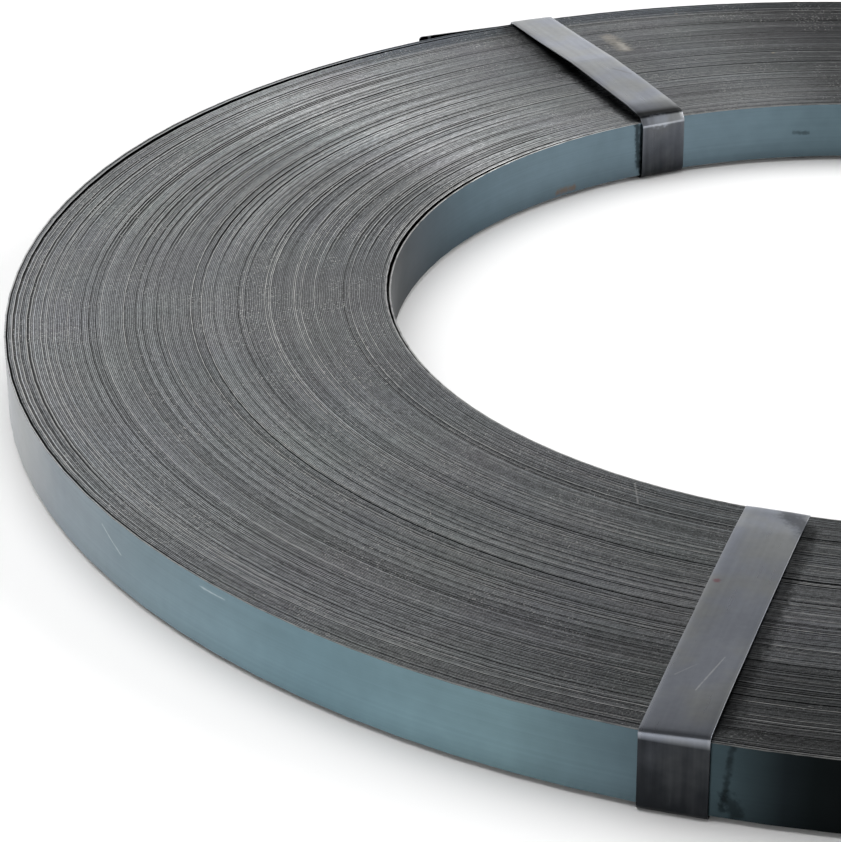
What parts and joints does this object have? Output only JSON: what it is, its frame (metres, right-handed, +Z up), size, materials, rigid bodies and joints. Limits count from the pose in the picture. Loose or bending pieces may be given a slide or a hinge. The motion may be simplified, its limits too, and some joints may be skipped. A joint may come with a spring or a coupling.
{
  "type": "steel strapping coil",
  "caption": "Ribbon-wound coil of blued steel strapping lying flat, with an open bore, bound by narrow bright steel ties and with a sprung loose outer end.",
  "frame": {"origin": "on the floor, at the coil's axis", "axes": "+Z up along the coil's axis; +Y away from the viewer of the picture; the front tie lies towards -Y"},
  "size_m": [0.531, 0.531, 0.0246],
  "materials": {
    "blued_strap": "blued and lightly oiled, slit edges on the end faces",
    "tie_strap": "bright cold-rolled, satin"
  },
  "bodies": {
    "root": {"strap_coil": "blued_strap", "tie_front": "tie_strap", "tie_rear": "tie_strap", "tie_right": "tie_strap"}
  },
  "joints": []
}
